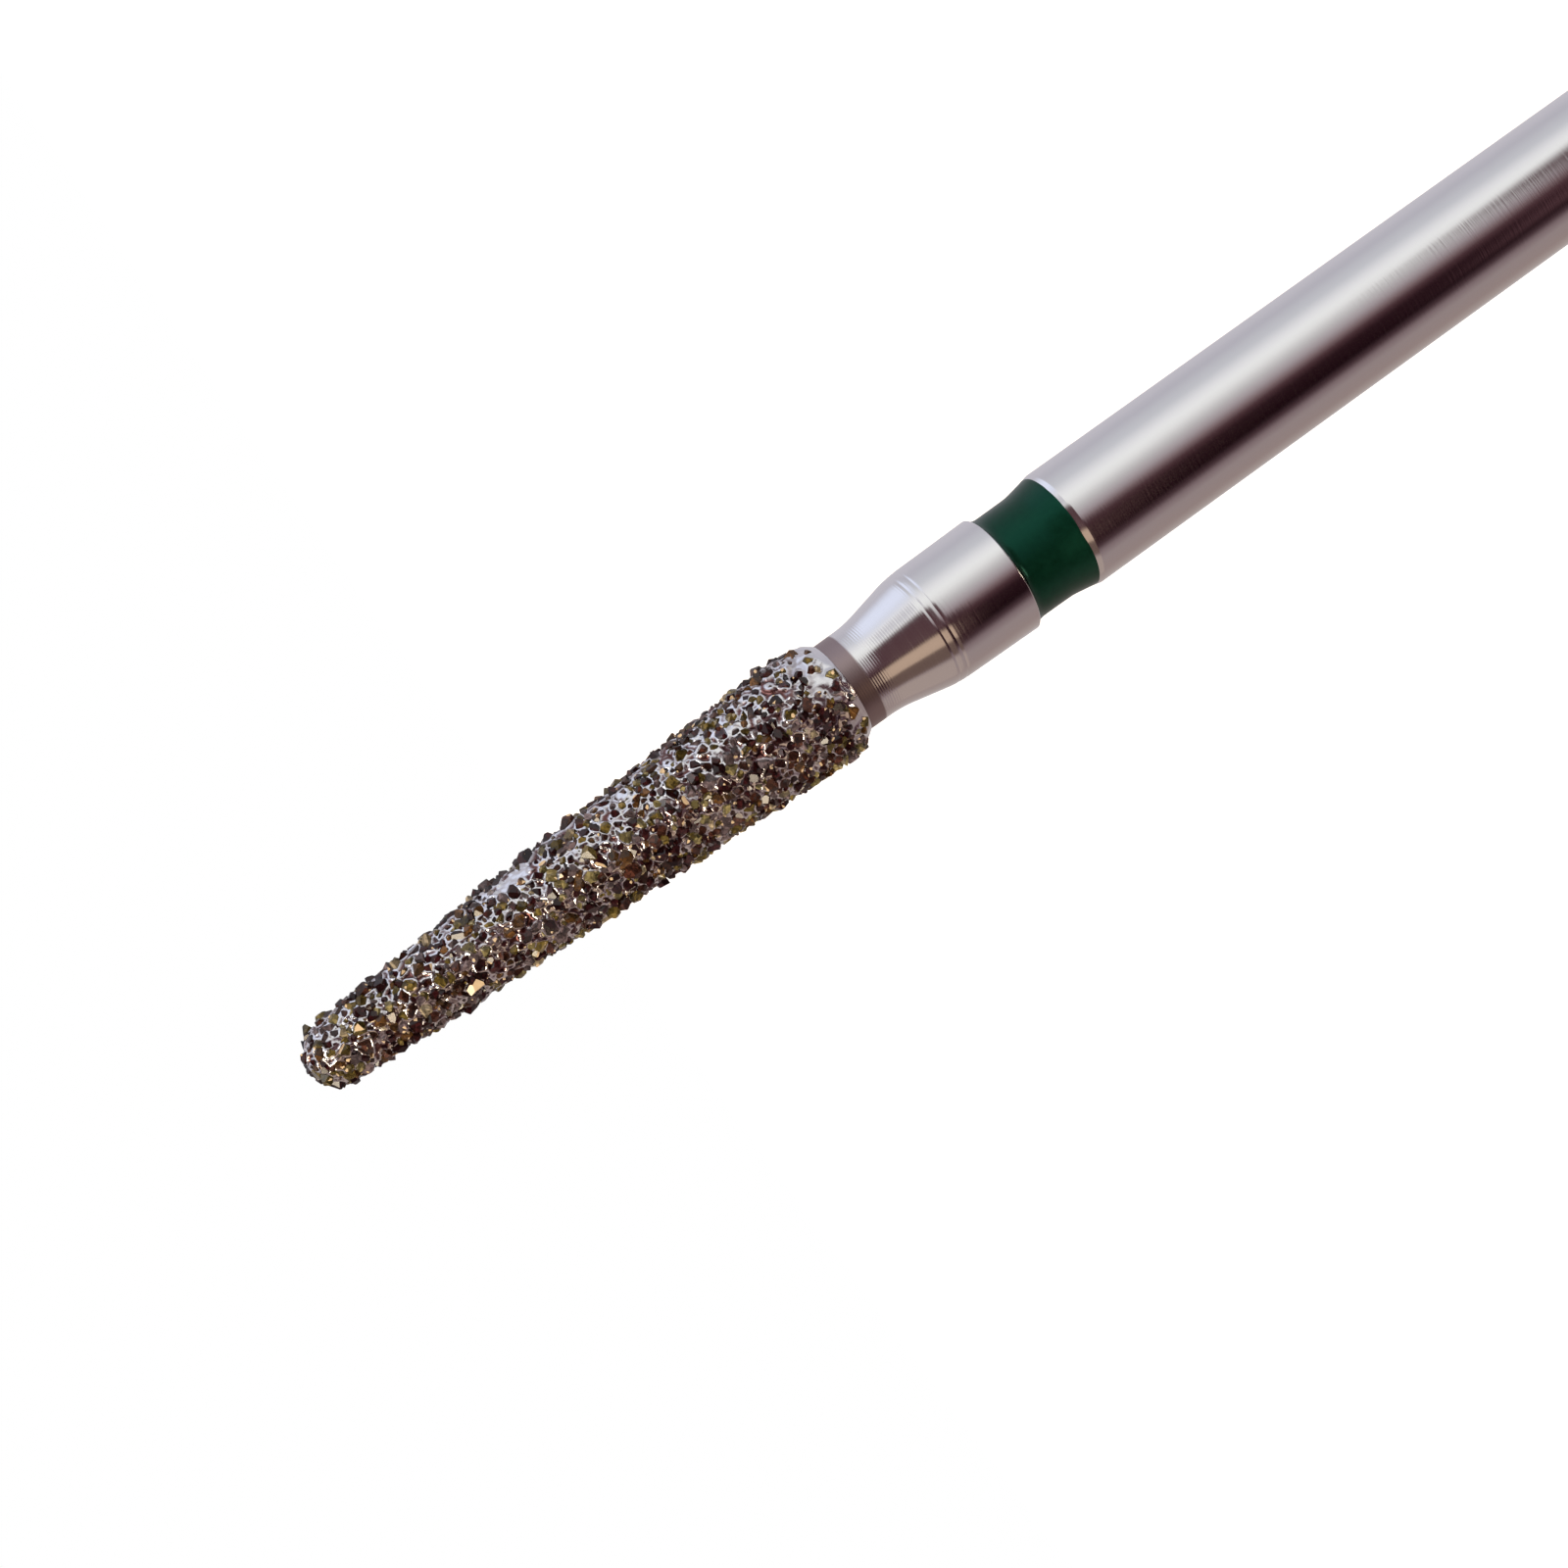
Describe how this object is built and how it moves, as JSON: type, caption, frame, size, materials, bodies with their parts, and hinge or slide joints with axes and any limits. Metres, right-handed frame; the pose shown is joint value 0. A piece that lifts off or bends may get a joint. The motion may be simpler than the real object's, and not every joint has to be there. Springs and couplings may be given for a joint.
{
  "type": "dental bur",
  "caption": "Tapered round-end diamond bur with a slim friction-grip shank and a green grit-grade ring, for cutting teeth and crowns in a turbine handpiece.",
  "frame": {"origin": "centre of the flat end of the shank", "axes": "+Z along the bur's axis, from the shank's end to the round tip of the head; turned all round, so X and Y are free"},
  "size_m": [0.0016, 0.0016, 0.022],
  "materials": {
    "polished_steel": "fine-turned and polished stainless steel",
    "green_lacquer": "glossy baked lacquer",
    "plated_nickel": "satin electroplated nickel",
    "diamond": "glassy crystal facets"
  },
  "bodies": {
    "root": {"steel_blank": "polished_steel", "colour_ring": "green_lacquer", "nickel_bond": "plated_nickel", "diamond_grit": "diamond"}
  },
  "joints": []
}
